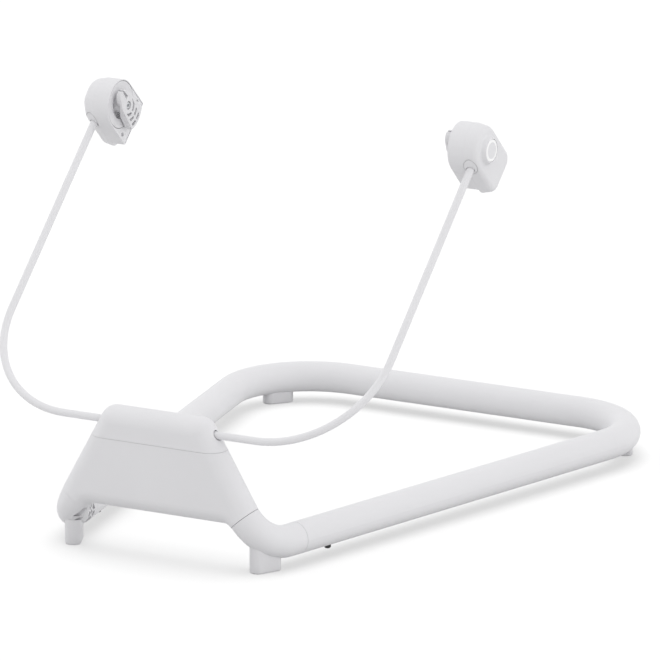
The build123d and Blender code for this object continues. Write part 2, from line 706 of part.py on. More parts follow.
# Snap pins under the side tubes, each on a folded leaf spring inside the elbow's spigot
snap_plane = Plane(origin=snap_at, x_dir=tube_dir, z_dir=tube_dir.cross(Vector(0, 0, 1)))
leaf_low = SNAP_SEAT - SNAP_LEAF_T / 2
fold_r = (SNAP_LEAF_TOP + leaf_low) / 2
fold_mid = (SNAP_LEAF_TOP - leaf_low) / 2
low_run = SNAP_LEAF_FOLD + SNAP_LEAF_LOW_END
top_run = SNAP_LEAF_FOLD + SNAP_LEAF_TOP_END
with BuildSketch(snap_plane) as leaf_section:
    with Locations((SNAP_LEAF_FOLD, fold_mid)):
        Circle(fold_r + SNAP_LEAF_T / 2)
        Circle(fold_r - SNAP_LEAF_T / 2, mode=Mode.SUBTRACT)
    with Locations((SNAP_LEAF_FOLD, 0)):
        Rectangle(TUBE_D, 2 * TUBE_D, align=(Align.MAX, Align.CENTER), mode=Mode.SUBTRACT)
    with Locations((SNAP_LEAF_FOLD, -leaf_low)):
        Rectangle(low_run, SNAP_LEAF_T, align=(Align.MAX, Align.CENTER))
    with Locations((SNAP_LEAF_FOLD, SNAP_LEAF_TOP)):
        Rectangle(top_run, SNAP_LEAF_T, align=(Align.MAX, Align.CENTER))
with BuildPart() as right_snap_spring:
    extrude(leaf_section.sketch, amount=SNAP_LEAF_W / 2, both=True)
right_snap_spring.part.label = "right_snap_spring"
export_step(right_snap_spring.part, "parts/right_snap_spring.step")

with BuildPart() as left_snap_spring:
    mirror(right_snap_spring.part, about=Plane.YZ)
left_snap_spring.part.label = "left_snap_spring"
export_step(left_snap_spring.part, "parts/left_snap_spring.step")

with BuildSketch(snap_down.offset(SNAP_SEAT)) as pin_section:
    Circle(SNAP_R)
with BuildSketch(snap_down.offset(SNAP_SEAT)) as pin_flange:
    Circle(SNAP_R + SNAP_FLANGE)
with BuildPart() as right_snap_pin:
    extrude(pin_section.sketch, amount=tube_r + SNAP_PROUD - SNAP_SEAT)
    fillet(right_snap_pin.edges().group_by(Axis.Z)[0], radius=SNAP_TIP_ROUND)
    extrude(pin_flange.sketch, amount=SNAP_FLANGE_T)
right_snap_pin.part.label = "right_snap_pin"
export_step(right_snap_pin.part, "parts/right_snap_pin.step")

with BuildPart() as left_snap_pin:
    mirror(right_snap_pin.part, about=Plane.YZ)
left_snap_pin.part.label = "left_snap_pin"
export_step(left_snap_pin.part, "parts/left_snap_pin.step")

# Spring wire: one bent rod through the console, a leg up to each adapter
wire_leg = Vector(0, sin(radians(LEG_LEAN)), cos(radians(LEG_LEAN)))
wire_middle = Vector(0, wire_y, WIRE_Z)
wire_corner = Vector(LEG_X, wire_y, WIRE_Z)
wire_end = wire_corner + wire_leg * (HUB_REACH - WIRE_END_GAP)
wire_in, wire_mid, wire_out = bend(wire_middle, wire_corner, wire_end, WIRE_BEND_R)
with BuildLine() as wire_half:
    Line(wire_middle, wire_in)
    ThreePointArc(wire_in, wire_mid, wire_out)
    Line(wire_out, wire_end)
with BuildSketch(Plane(origin=wire_middle, z_dir=(1, 0, 0))) as wire_section:
    Circle(wire_r)
with BuildPart() as spring_wire:
    sweep(wire_section.sketch, path=wire_half.line)
    mirror(about=Plane.YZ)
spring_wire.part.label = "spring_wire"
export_step(spring_wire.part, "parts/spring_wire.step")

# Adapter frame: sketch X runs toward the tail, sketch Y up along the wire's leg
hub_at = wire_corner + wire_leg * HUB_REACH
tail_dir = Vector(0, cos(radians(LEG_LEAN)), -sin(radians(LEG_LEAN)))
hub_axis = Axis((0, hub_at.Y, hub_at.Z), (1, 0, 0))


def drum(x):
    return Plane(origin=(x, hub_at.Y, hub_at.Z), x_dir=tail_dir, z_dir=(1, 0, 0))


def below_hub(distance):
    return Plane(origin=hub_at - wire_leg * distance, x_dir=(1, 0, 0), z_dir=wire_leg * -1)


tail_screw_spots = [(TAIL_SCREW_T, TAIL_SCREW_L), (TAIL_SCREW_T, -TAIL_SCREW_L)]
mouth_r = DRUM_R - RIM_WALL
room_r = DRUM_R - ADAPTER_WALL
room_end_x = OUTER_FACE_X - FACE_WALL
clip_x = BULKHEAD_X + RUN_FIT
block_x = clip_x + CLIP_T + CLIP_ROOM
block_top = WIRE_END_GAP - WIRE_STOP_T
tail_screw_x = INNER_FACE_X + TAIL_SCREW_SEAT

# Skin of the outer shell: drum, cap with the longer tail, and the button's boss
with BuildSketch(drum(INNER_FACE_X)) as drum_profile:
    Circle(DRUM_R)
    Rectangle(TAIL, 2 * DRUM_R, align=(Align.MIN, Align.CENTER))
    fillet(drum_profile.vertices().group_by(Axis.X)[-1], radius=TAIL_CORNER)
with BuildSketch(drum(CAP_START_X)) as cap_profile:
    Circle(DRUM_R)
    Rectangle(LONG_TAIL, 2 * DRUM_R, align=(Align.MIN, Align.CENTER))
    fillet(cap_profile.vertices().group_by(Axis.X)[-1], radius=LONG_TAIL_CORNER)
with BuildPart() as adapter_skin:
    extrude(cap_profile.sketch, amount=OUTER_FACE_X - CAP_START_X, taper=CAP_TAPER)
    fillet(adapter_skin.edges().group_by(Axis.X)[-1], radius=CAP_EDGE_R)
    extrude(drum_profile.sketch, amount=CAP_START_X - INNER_FACE_X)
    fillet(adapter_skin.edges().group_by(Axis.X)[0], radius=RIM_EDGE)
    with Locations(drum(OUTER_FACE_X)):
        Cone(BOSS_BASE_R, BOSS_R, BOSS_FACE_X - OUTER_FACE_X, align=(Align.CENTER, Align.CENTER, Align.MIN))
    boss_foot = adapter_skin.edges().filter_by(GeomType.CIRCLE)
    fillet(boss_foot.filter_by(lambda e: abs(e.radius - BOSS_BASE_R) < RIM_EDGE), radius=BOSS_FOOT_R)
    fillet(adapter_skin.edges().group_by(Axis.X)[-1], radius=BOSS_EDGE)

# Insides of the outer shell: mouth, room, wire socket, screw bosses, button bore and grommet seat
with BuildSketch(drum(INNER_FACE_X)) as mouth_profile:
    Circle(mouth_r)
    Rectangle(TAIL - RIM_WALL, 2 * mouth_r, align=(Align.MIN, Align.CENTER))
with BuildSketch(drum(BULKHEAD_X)) as room_profile:
    Circle(room_r)
    Rectangle(TAIL - ADAPTER_WALL, 2 * room_r, align=(Align.MIN, Align.CENTER))
with BuildSketch(drum(CAP_START_X + ADAPTER_WALL)) as tail_room:
    Rectangle(LONG_TAIL - 2 * ADAPTER_WALL, TAIL_ROOM_W, align=(Align.MIN, Align.CENTER))
with BuildSketch(drum(BULKHEAD_X)) as button_room:
    Circle(BUTTON_ROOM_R)
with BuildSketch(drum(block_x)) as block_profile:
    Circle(room_r + BLOCK_ROOT)
    Rectangle(TAIL - ADAPTER_WALL, 2 * (room_r + BLOCK_ROOT), align=(Align.MIN, Align.CENTER))
    with Locations((0, -block_top)):
        Rectangle(2 * BLOCK_HALF, 2 * DRUM_R, align=(Align.CENTER, Align.MAX), mode=Mode.INTERSECT)
with BuildSketch(drum(BULKHEAD_X)) as tail_bosses:
    with Locations(*tail_screw_spots):
        Circle(TAIL_BOSS_R)
with BuildSketch(drum(tail_screw_x)) as tail_screw_shanks:
    with Locations(*tail_screw_spots):
        Circle(SCREW_R)
with BuildSketch(drum(tail_screw_x)) as tail_screw_heads:
    with Locations(*tail_screw_spots):
        Circle(TAIL_HEAD_R)
with BuildSketch(drum(tail_screw_x)) as tail_screw_recess:
    with Locations(*tail_screw_spots):
        Circle(TAIL_HEAD_R + HEAD_FIT)
with BuildSketch(drum(room_end_x - CUT_OVER)) as button_bore:
    Circle(BUTTON_R + SLIDE_FIT)
with BuildSketch(Plane(origin=wire_end, z_dir=wire_leg * -1)) as wire_bore:
    Circle(wire_r + GRIP_FIT)
with BuildSketch(below_hub(DRUM_R - GROMMET_T)) as grommet_bore:
    with Locations((GROMMET_OUT, GROMMET_FORE)):
        Ellipse(GROMMET_ACROSS + RUN_FIT, GROMMET_ALONG + RUN_FIT)

with BuildPart() as right_adapter_outer:
    add(adapter_skin.part)
    extrude(mouth_profile.sketch, amount=BULKHEAD_X - INNER_FACE_X, mode=Mode.SUBTRACT)
    extrude(room_profile.sketch, amount=ADAPTER_ROOM_X - BULKHEAD_X, mode=Mode.SUBTRACT)
    extrude(button_room.sketch, amount=room_end_x - BULKHEAD_X, mode=Mode.SUBTRACT)
    extrude(tail_room.sketch, amount=TAIL_ROOM_X - CAP_START_X - ADAPTER_WALL, mode=Mode.SUBTRACT)
    extrude(block_profile.sketch, amount=ADAPTER_ROOM_X - block_x)
    extrude(tail_bosses.sketch, amount=ADAPTER_ROOM_X - BULKHEAD_X)
    extrude(button_bore.sketch, amount=BOSS_FACE_X - INNER_FACE_X, mode=Mode.SUBTRACT)
    extrude(wire_bore.sketch, amount=2 * DRUM_R, mode=Mode.SUBTRACT)
    extrude(grommet_bore.sketch, amount=DRUM_R, mode=Mode.SUBTRACT)
    extrude(tail_screw_shanks.sketch, amount=TAIL_SCREW_LENGTH + CUT_OVER, mode=Mode.SUBTRACT)
right_adapter_outer.part.label = "right_adapter_outer"
export_step(right_adapter_outer.part, "parts/right_adapter_outer.step")

with BuildPart() as left_adapter_outer:
    mirror(right_adapter_outer.part, about=Plane.YZ)
left_adapter_outer.part.label = "left_adapter_outer"
export_step(left_adapter_outer.part, "parts/left_adapter_outer.step")

# Inner plate: closes the mouth round the hub and carries the hub's shaft in its bulkhead
plate_x = INNER_FACE_X + PLATE_INSET
plate_r = mouth_r - SEAM_GAP
hub_r = mouth_r - RUN_FIT
with BuildSketch(drum(plate_x)) as plate_profile:
    Circle(plate_r)
    Rectangle(TAIL - RIM_WALL - SEAM_GAP, 2 * plate_r, align=(Align.MIN, Align.CENTER))
with BuildSketch(drum(plate_x)) as hub_recess:
    Circle(mouth_r)
with BuildSketch(drum(plate_x)) as shaft_bore:
    Circle(SHAFT_R + RUN_FIT)
with BuildSketch(drum(BULKHEAD_X)) as tail_hollow:
    with Locations((TAIL_HOLLOW_T, 0)):
        RectangleRounded(TAIL_HOLLOW_W, TAIL_HOLLOW_L, TAIL_HOLLOW_CORNER)
with BuildPart() as right_adapter_inner:
    extrude(plate_profile.sketch, amount=BULKHEAD_X - plate_x)
    extrude(hub_recess.sketch, amount=HUB_BACK_X + RUN_FIT - plate_x, mode=Mode.SUBTRACT)
    extrude(shaft_bore.sketch, amount=BULKHEAD_X - plate_x, mode=Mode.SUBTRACT)
    extrude(tail_hollow.sketch, amount=plate_x + PLATE_T - BULKHEAD_X, mode=Mode.SUBTRACT)
    extrude(tail_screw_shanks.sketch, amount=TAIL_SCREW_LENGTH, mode=Mode.SUBTRACT)
    extrude(tail_screw_recess.sketch, amount=-TAIL_SCREW_SEAT, mode=Mode.SUBTRACT)
right_adapter_inner.part.label = "right_adapter_inner"
export_step(right_adapter_inner.part, "parts/right_adapter_inner.step")

with BuildPart() as left_adapter_inner:
    mirror(right_adapter_inner.part, about=Plane.YZ)
left_adapter_inner.part.label = "left_adapter_inner"
export_step(left_adapter_inner.part, "parts/left_adapter_inner.step")

with BuildPart() as right_adapter_screws:
    extrude(tail_screw_heads.sketch, amount=-HEAD_T)
    extrude(tail_screw_shanks.sketch, amount=TAIL_SCREW_LENGTH)
right_adapter_screws.part.label = "right_adapter_screws"
export_step(right_adapter_screws.part, "parts/right_adapter_screws.step")

with BuildPart() as left_adapter_screws:
    mirror(right_adapter_screws.part, about=Plane.YZ)
left_adapter_screws.part.label = "left_adapter_screws"
export_step(left_adapter_screws.part, "parts/left_adapter_screws.step")

# Grommet round the wire, flush with the drum
with BuildSketch(below_hub(DRUM_R - GROMMET_T)) as grommet_ring:
    with Locations((GROMMET_OUT, GROMMET_FORE)):
        Ellipse(GROMMET_ACROSS, GROMMET_ALONG)
    Circle(wire_r + GROMMET_PLAY, mode=Mode.SUBTRACT)
with BuildPart() as right_wire_grommet:
    extrude(grommet_ring.sketch, amount=DRUM_R)
    add(adapter_skin.part, mode=Mode.INTERSECT)
right_wire_grommet.part.label = "right_wire_grommet"
export_step(right_wire_grommet.part, "parts/right_wire_grommet.step")

with BuildPart() as left_wire_grommet:
    mirror(right_wire_grommet.part, about=Plane.YZ)
left_wire_grommet.part.label = "left_wire_grommet"
export_step(left_wire_grommet.part, "parts/left_wire_grommet.step")

# Recline hub: a dished disc with a shaft through the adapter's bulkhead, held by a clip
hub_rim_x = INNER_FACE_X + HUB_INSET
hub_profile_plane = Plane(origin=(0, hub_at.Y, hub_at.Z), x_dir=(1, 0, 0), z_dir=tail_dir * -1)
hub_profile_points = [
    (hub_rim_x, hub_r - HUB_LIP),
    (hub_rim_x, hub_r - HUB_CHAMFER),
    (hub_rim_x + HUB_CHAMFER, hub_r),
    (HUB_BACK_X, hub_r),
    (HUB_BACK_X, SHAFT_R),
    (clip_x, SHAFT_R),
    (clip_x, GROOVE_R),
    (clip_x + CLIP_T, GROOVE_R),
    (clip_x + CLIP_T, SHAFT_R),
    (SHAFT_END_X, SHAFT_R),
    (SHAFT_END_X, 0),
    (HUB_SCREW_TIP_X, 0),
    (HUB_SCREW_TIP_X, HUB_SCREW_R),
    (HUB_FLOOR_X, HUB_SCREW_R),
    (HUB_FLOOR_X, DISH_FLOOR_R),
    (HUB_FLOOR_X - DISH_STEP, DISH_SLOPE_R),
]
with BuildSketch(hub_profile_plane) as hub_profile:
    Polygon(*hub_profile_points, align=None)
with BuildPart() as right_hub:
    revolve(hub_profile.sketch, axis=hub_axis)
right_hub.part.label = "right_hub"
export_step(right_hub.part, "parts/right_hub.step")

with BuildPart() as left_hub:
    mirror(right_hub.part, about=Plane.YZ)
left_hub.part.label = "left_hub"
export_step(left_hub.part, "parts/left_hub.step")

with BuildSketch(drum(clip_x)) as clip_profile:
    Circle(CLIP_R)
    Circle(GROOVE_R, mode=Mode.SUBTRACT)
    with Locations((GROOVE_R / 2, 0)):
        Rectangle(CLIP_MOUTH_L, CLIP_MOUTH_W, align=(Align.MIN, Align.CENTER), mode=Mode.SUBTRACT)
with BuildPart() as right_hub_clip:
    extrude(clip_profile.sketch, amount=CLIP_T)
right_hub_clip.part.label = "right_hub_clip"
export_step(right_hub_clip.part, "parts/right_hub_clip.step")

with BuildPart() as left_hub_clip:
    mirror(right_hub_clip.part, about=Plane.YZ)
left_hub_clip.part.label = "left_hub_clip"
export_step(left_hub_clip.part, "parts/left_hub_clip.step")

# Seat plug: wedge plate on a round neck, with a lock slot, a screw recess and ribbed pockets
pocket_rows = [POCKET_OUT_R - POCKET_PITCH * row for row in range(POCKET_ROWS)]
heel_x = PLUG_FACE_X + PLUG_HEEL_T
plate_back_x = PLUG_FACE_X + PLUG_PLATE_T
heel_plane = Plane(origin=(0, hub_at.Y, hub_at.Z), x_dir=(1, 0, 0), z_dir=wire_leg)
pocket_field = [
    (POCKET_NEAR, POCKET_NEAR_LOW),
    (POCKET_FAR, POCKET_FAR_LOW),
    (POCKET_FAR, POCKET_FAR_HIGH),
    (POCKET_NEAR, POCKET_NEAR_HIGH),
]
heel_points = [
    (heel_x, -PLUG_TAIL_R),
    (heel_x, HEEL_START),
    (plate_back_x, HEEL_END),
    (plate_back_x + CUT_OVER, HEEL_END),
    (plate_back_x + CUT_OVER, -PLUG_TAIL_R),
]
slot_points = [
    (SLOT_TIP[0], SLOT_TIP[1] - SLOT_TIP_HALF),
    (SLOT_FOOT[0], SLOT_FOOT[1] - SLOT_FOOT_HALF),
    (SLOT_FOOT[0], SLOT_FOOT[1] + SLOT_FOOT_HALF),
    (SLOT_TIP[0], SLOT_TIP[1] + SLOT_TIP_HALF),
]
with BuildSketch(drum(PLUG_FACE_X)) as plug_nose:
    with Locations(PLUG_NOSE_AT):
        Circle(PLUG_NOSE_R)
with BuildSketch(drum(PLUG_FACE_X)) as plug_outline:
    add(plug_nose.sketch_local)
    with Locations(PLUG_SHOULDER_AT):
        Circle(PLUG_SHOULDER_R)
    with Locations((PLUG_TAIL_R, 0)):
        Rectangle(PLUG_TAIL_RUN, 2 * PLUG_TAIL_HALF, align=(Align.MAX, Align.CENTER))
    make_hull()
    Circle(PLUG_TAIL_R, mode=Mode.INTERSECT)
with BuildSketch(drum(PLUG_FACE_X)) as plug_neck:
    Circle(PLUG_NECK_R)
with BuildSketch(drum(PLUG_FACE_X)) as plug_pockets:
    for row_r in pocket_rows:
        Circle(row_r)
        Circle(row_r - POCKET_W, mode=Mode.SUBTRACT)
    Polygon(*pocket_field, align=None, mode=Mode.INTERSECT)
    with Locations(Rotation(0, 0, POCKET_RIB_TURN)):
        Rectangle(PLUG_TAIL_R, POCKET_RIB_T, align=(Align.MIN, Align.CENTER), mode=Mode.SUBTRACT)
with BuildSketch(heel_plane) as plug_heel:
    Polygon(*heel_points, align=None)
with BuildSketch(drum(PLUG_FACE_X)) as plug_slot:
    Polygon(*slot_points, align=None)
with BuildSketch(drum(PLUG_FACE_X)) as plug_recess:
    Circle(PLUG_RECESS_R)
with BuildSketch(drum(PLUG_FACE_X)) as plug_hole:
    Circle(HUB_SCREW_R)
with BuildPart() as right_seat_plug:
    extrude(plug_outline.sketch, amount=PLUG_PLATE_T)
    extrude(plug_heel.sketch, amount=PLUG_TAIL_R, both=True, mode=Mode.SUBTRACT)
    extrude(plug_nose.sketch, amount=PLUG_NOSE_T)
    fillet(right_seat_plug.edges().group_by(Axis.X)[0], radius=PLUG_EDGE)
    extrude(plug_neck.sketch, amount=HUB_FLOOR_X - PLUG_FACE_X)
    extrude(plug_pockets.sketch, amount=PLUG_PLATE_T, mode=Mode.SUBTRACT)
    extrude(plug_slot.sketch, amount=PLUG_NOSE_T, mode=Mode.SUBTRACT)
    extrude(plug_recess.sketch, amount=PLUG_RECESS_T, mode=Mode.SUBTRACT)
    extrude(plug_hole.sketch, amount=HUB_FLOOR_X - PLUG_FACE_X, mode=Mode.SUBTRACT)
right_seat_plug.part.label = "right_seat_plug"
export_step(right_seat_plug.part, "parts/right_seat_plug.step")

with BuildPart() as left_seat_plug:
    mirror(right_seat_plug.part, about=Plane.YZ)
left_seat_plug.part.label = "left_seat_plug"
export_step(left_seat_plug.part, "parts/left_seat_plug.step")

plug_screw_x = PLUG_FACE_X + PLUG_RECESS_T
with BuildSketch(drum(plug_screw_x)) as plug_screw_shank:
    Circle(HUB_SCREW_R)
with BuildSketch(drum(plug_screw_x)) as plug_screw_head:
    Circle(HUB_HEAD_R)
with BuildSketch(drum(plug_screw_x - HUB_HEAD_T)) as plug_screw_socket:
    RegularPolygon(HUB_SOCKET_R, 6)
with BuildPart() as right_plug_screw:
    extrude(plug_screw_head.sketch, amount=-HUB_HEAD_T)
    extrude(plug_screw_shank.sketch, amount=HUB_SCREW_TIP_X - plug_screw_x)
    extrude(plug_screw_socket.sketch, amount=HUB_SOCKET_T, mode=Mode.SUBTRACT)
right_plug_screw.part.label = "right_plug_screw"
export_step(right_plug_screw.part, "parts/right_plug_screw.step")

with BuildPart() as left_plug_screw:
    mirror(right_plug_screw.part, about=Plane.YZ)
left_plug_screw.part.label = "left_plug_screw"
export_step(left_plug_screw.part, "parts/left_plug_screw.step")

# Release button in the adapter's boss: cap, flange and plunger, on a return spring
button_face_x = BOSS_FACE_X - BUTTON_INSET
flange_end_x = room_end_x - SLIDE_FIT
plunger_x = SHAFT_END_X + BUTTON_TRAVEL + PLUNGER_GAP
with BuildSketch(drum(flange_end_x)) as button_cap:
    Circle(BUTTON_R)
with BuildSketch(drum(flange_end_x)) as button_flange:
    Circle(FLANGE_R)
with BuildSketch(drum(plunger_x)) as plunger_section:
    Circle(PLUNGER_R)
with BuildPart() as right_release_button:
    extrude(button_cap.sketch, amount=button_face_x - flange_end_x)
    fillet(right_release_button.edges().group_by(Axis.X)[-1], radius=BUTTON_EDGE)
    extrude(button_flange.sketch, amount=-FLANGE_T)
    extrude(plunger_section.sketch, amount=flange_end_x - plunger_x)
right_release_button.part.label = "right_release_button"
export_step(right_release_button.part, "parts/right_release_button.step")

with BuildPart() as left_release_button:
    mirror(right_release_button.part, about=Plane.YZ)
left_release_button.part.label = "left_release_button"
export_step(left_release_button.part, "parts/left_release_button.step")

with BuildSketch(drum(SHAFT_END_X)) as button_spring_section:
    Circle(SPRING_OUT_R)
    Circle(SPRING_IN_R, mode=Mode.SUBTRACT)
with BuildPart() as right_button_spring:
    extrude(button_spring_section.sketch, amount=flange_end_x - FLANGE_T - SHAFT_END_X)
right_button_spring.part.label = "right_button_spring"
export_step(right_button_spring.part, "parts/right_button_spring.step")

with BuildPart() as left_button_spring:
    mirror(right_button_spring.part, about=Plane.YZ)
left_button_spring.part.label = "left_button_spring"
export_step(left_button_spring.part, "parts/left_button_spring.step")
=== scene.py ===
# %% [markdown]
# # A bouncing stand for a baby seat
# The stand is a loop of tube on the floor, a moulded console in front, and one bent
# spring wire that carries a seat adapter on each leg. Its hard pieces come in finished
# from the frame, so this lesson is about the rest: camera, light, finishes and fasteners.

# %% Load the frame
import json
import math

import bmesh
import bpy
import numpy as np
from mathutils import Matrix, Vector


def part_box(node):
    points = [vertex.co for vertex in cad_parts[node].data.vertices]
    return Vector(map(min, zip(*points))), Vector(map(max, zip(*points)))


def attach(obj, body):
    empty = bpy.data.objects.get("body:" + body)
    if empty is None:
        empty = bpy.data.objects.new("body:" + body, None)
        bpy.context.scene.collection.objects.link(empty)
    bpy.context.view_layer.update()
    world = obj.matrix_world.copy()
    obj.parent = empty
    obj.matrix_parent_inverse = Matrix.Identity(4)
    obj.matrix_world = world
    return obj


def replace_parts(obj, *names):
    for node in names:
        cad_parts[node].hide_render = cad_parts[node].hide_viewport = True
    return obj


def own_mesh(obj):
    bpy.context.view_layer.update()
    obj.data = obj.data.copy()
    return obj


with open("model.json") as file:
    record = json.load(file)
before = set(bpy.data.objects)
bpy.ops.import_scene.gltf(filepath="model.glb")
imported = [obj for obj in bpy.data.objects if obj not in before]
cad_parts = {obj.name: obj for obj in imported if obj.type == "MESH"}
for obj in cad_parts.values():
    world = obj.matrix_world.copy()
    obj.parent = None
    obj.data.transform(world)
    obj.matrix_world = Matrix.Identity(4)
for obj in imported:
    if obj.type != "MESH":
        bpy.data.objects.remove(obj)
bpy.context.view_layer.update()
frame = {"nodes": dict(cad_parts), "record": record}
scene = bpy.context.scene

# %% [markdown]
# ## Camera
# The stand was photographed from far away with a long lens: its parallel edges hardly
# converge. The camera circles a target point near the middle of the stand, so the view
# is three plain numbers: how far round, how high and how far off. The focal length is
# known in pixels of a square picture, and a sensor width turns it into millimetres.

# %% Camera
TARGET = Vector((0.0040, 0.0240, 0.1900))
AZIMUTH = math.radians(29.77)
ELEVATION = math.radians(14.13)
DISTANCE = 8.709
FOCAL_PIXELS = 7280
PICTURE_PIXELS = 660
SENSOR_WIDTH = 36
CLIP_END = 100


def sphere_point(azimuth, elevation, distance):
    """A point on a sphere round the origin; azimuth 0 is in front of the stand."""
    level = math.cos(elevation)
    return distance * Vector((math.sin(azimuth) * level, -math.cos(azimuth) * level, math.sin(elevation)))


camera_data = bpy.data.cameras.new("camera")
camera_data.sensor_width = SENSOR_WIDTH
camera_data.lens = FOCAL_PIXELS / PICTURE_PIXELS * SENSOR_WIDTH
camera_data.clip_end = CLIP_END
camera = bpy.data.objects.new("camera", camera_data)
scene.collection.objects.link(camera)
away = sphere_point(AZIMUTH, ELEVATION, DISTANCE)
camera.location = TARGET + away
camera.rotation_euler = away.to_track_quat("Z", "Y").to_euler()
scene.camera = camera
print("lens", round(camera_data.lens, 1), "mm at", tuple(round(c, 3) for c in camera.location))

# %% [markdown]
# ## Node helpers
# The floor, the room, the finishes and the fasteners are all trees of nodes. Built one
# property and one link at a time, a tree gets lost among its lines. So one function adds
# a node together with everything that feeds it, and a tree then reads like a formula:
# each line says what goes in and keeps what comes out.

# %% Node helpers
def add_node(tree, kind, given=None, **settings):
    """One node of a tree: settings are its own properties, given its inputs by name or number."""
    made = tree.nodes.new(kind)
    for name, value in settings.items():
        setattr(made, name, value)
    for name, value in (given or {}).items():
        if isinstance(value, bpy.types.NodeSocket):
            tree.links.new(value, made.inputs[name])
        else:
            made.inputs[name].default_value = value
    return made


def math_node(tree, operation, *values):
    """The result of a math node fed by sockets or numbers."""
    return add_node(tree, "ShaderNodeMath", dict(enumerate(values)), operation=operation).outputs[0]


def vector_node(tree, operation, *values):
    """A vector math node fed by sockets or vectors."""
    return add_node(tree, "ShaderNodeVectorMath", dict(enumerate(values)), operation=operation)


def new_material(name):
    """A material, its tree and its main shader."""
    material = bpy.data.materials.new(name)
    material.use_nodes = True
    return material, material.node_tree, material.node_tree.nodes["Principled BSDF"]


def grey(value):
    """An opaque grey."""
    return value, value, value, 1


print("helpers", [helper.__name__ for helper in (add_node, math_node, vector_node, new_material)])

# %% [markdown]
# ## Floor
# The floor is paper white and runs out of the picture. A white sheet in studio light is
# always a little grey, so the part of its shader that only the camera and mirror-like
# rays see adds a glow on top of the plain diffuse sheet. The shadow stays, because the
# diffuse part still loses light under the tubes.

# %% Floor
FLOOR_HALF = 30.0
FLOOR_BOUNCE = 0.338
FLOOR_SEEN = 0.255
FLOOR_GLOW = 0.53


def seen_directly(tree):
    """A socket that is 1 for camera, glossy and transmission rays."""
    path = add_node(tree, "ShaderNodeLightPath").outputs
    mirror = math_node(tree, "MAXIMUM", path["Is Glossy Ray"], path["Is Transmission Ray"])
    return math_node(tree, "MAXIMUM", path["Is Camera Ray"], mirror)


def paper_floor():
    """White paper: diffuse for bounced light, diffuse and a glow where it is seen."""
    material, tree, shader = new_material("paper_floor")
    tree.nodes.remove(shader)
    bounce = add_node(tree, "ShaderNodeBsdfDiffuse", {"Color": grey(FLOOR_BOUNCE)}).outputs[0]
    sheet = add_node(tree, "ShaderNodeBsdfDiffuse", {"Color": grey(FLOOR_SEEN)}).outputs[0]
    glow = add_node(tree, "ShaderNodeEmission", {"Strength": FLOOR_GLOW}).outputs[0]
    bright = add_node(tree, "ShaderNodeAddShader", {0: sheet, 1: glow}).outputs[0]
    choice = {"Fac": seen_directly(tree), 1: bounce, 2: bright}
    surface = add_node(tree, "ShaderNodeMixShader", choice).outputs[0]
    tree.links.new(surface, tree.nodes["Material Output"].inputs["Surface"])
    return material


floor_mesh = bpy.data.meshes.new("floor")
corners = [(x * FLOOR_HALF, y * FLOOR_HALF, 0) for x, y in ((-1, -1), (1, -1), (1, 1), (-1, 1))]
floor_mesh.from_pydata(corners, [], [(0, 1, 2, 3)])
floor = bpy.data.objects.new("floor", floor_mesh)
scene.collection.objects.link(floor)
floor_mesh.materials.append(paper_floor())
print("floor", 2 * FLOOR_HALF, "m square")

# %% [markdown]
# ## Light
# The picture has no hard shadow, so the stand is lit by a white room and by no lamp. The
# room shines from a few wide soft boxes. Each is a direction and a strength: a ray that
# points straight at a box gets its whole strength, and one at a right angle to it none.
# The boxes are added up in a chain of multiply-add nodes. To the camera, and in
# mirror-like reflections, the room is pure white.

# %% Light
SOFT_BOXES = {
    "right": ((1, 0, 0), 1.26),
    "left": ((-1, 0, 0), 1.38),
    "front": ((0, -1, 0), 0.24),
    "high_back": ((0, 1, 1), 0.51),
    "high_front": ((0, -1, 1), 0.285),
}


def soft_box_light(tree):
    """A socket with the light of all the soft boxes along a ray."""
    ray = add_node(tree, "ShaderNodeTexCoord").outputs["Generated"]
    light = 0.0
    for toward, strength in SOFT_BOXES.values():
        facing = vector_node(tree, "DOT_PRODUCT", ray, Vector(toward).normalized()).outputs["Value"]
        lit = math_node(tree, "MAXIMUM", facing, 0.0)
        light = math_node(tree, "MULTIPLY_ADD", lit, strength, light)
    return light


scene.view_settings.view_transform = "Standard"
world = bpy.data.worlds.new("white_room")
world.use_nodes = True
scene.world = world
room_tree = world.node_tree
room = room_tree.nodes["Background"]
room.inputs["Color"].default_value = grey(1)
room_tree.links.new(soft_box_light(room_tree), room.inputs["Strength"])
white = add_node(room_tree, "ShaderNodeBackground", {"Color": grey(1)}).outputs[0]
seen_or_lit = {"Fac": seen_directly(room_tree), 1: room.outputs[0], 2: white}
backdrop = add_node(room_tree, "ShaderNodeMixShader", seen_or_lit).outputs[0]
room_tree.links.new(backdrop, room_tree.nodes["World Output"].inputs["Surface"])
print("soft boxes", {name: strength for name, (_, strength) in SOFT_BOXES.items()})

# %% [markdown]
# ## Shadow
# The room alone is too even: the floor under the tubes hardly darkens. In the picture a
# narrow soft shadow lies straight below each tube, as from one round light overhead. A
# wide sun does that. It is linked to the floor alone, so the stand gets from it only what
# the floor throws back.

# %% Shadow
OVERHEAD_STRENGTH = 3.3
OVERHEAD_ANGLE = 56

overhead_data = bpy.data.lights.new("overhead", "SUN")
overhead_data.energy = OVERHEAD_STRENGTH
overhead_data.angle = math.radians(OVERHEAD_ANGLE)
overhead = bpy.data.objects.new("overhead", overhead_data)
scene.collection.objects.link(overhead)
floor_only = bpy.data.collections.new("lit_by_overhead")
floor_only.objects.link(floor)
overhead.light_linking.receiver_collection = floor_only

# %% [markdown]
# ## A shared grain
# Moulded plastic, powder coat, rubber and plated steel all have a fine grain and a slow
# drift of tone, at different sizes. One node group makes both from the piece's own
# coordinates, and every finish places it with its own sizes.

# %% Grain group
NOISE_DETAIL = {"Grain": 4.0, "Drift": 2.0}


